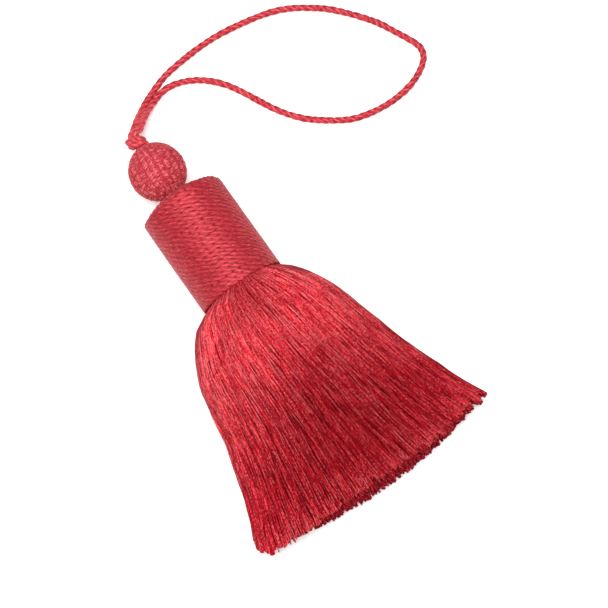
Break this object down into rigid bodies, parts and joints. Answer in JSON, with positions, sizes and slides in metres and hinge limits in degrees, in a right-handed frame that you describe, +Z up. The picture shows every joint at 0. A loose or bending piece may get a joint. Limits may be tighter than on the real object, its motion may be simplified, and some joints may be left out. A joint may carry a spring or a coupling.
{
  "type": "key tassel",
  "caption": "Key tassel laid flat: twisted cord loop, knot, ribbed bead, cord-wound cylinder head and a full skirt of cut yarn.",
  "frame": {"origin": "on the surface that the tassel lies on, under the middle of the wound head", "axes": "+Y along the tassel's axis from the skirt to the loop, +Z up from the surface, +X across, on the side where the loop lies"},
  "size_m": [0.1504, 0.168, 0.0328],
  "materials": {
    "loop_cord": "satin",
    "knot_cord": "satin",
    "bead_thread": "satin",
    "head_cord": "satin",
    "skirt_yarn": "satin"
  },
  "bodies": {
    "root": {"loop_cord": "loop_cord", "knot": "knot_cord", "bead": "bead_thread", "head": "head_cord", "skirt": "skirt_yarn"}
  },
  "joints": []
}
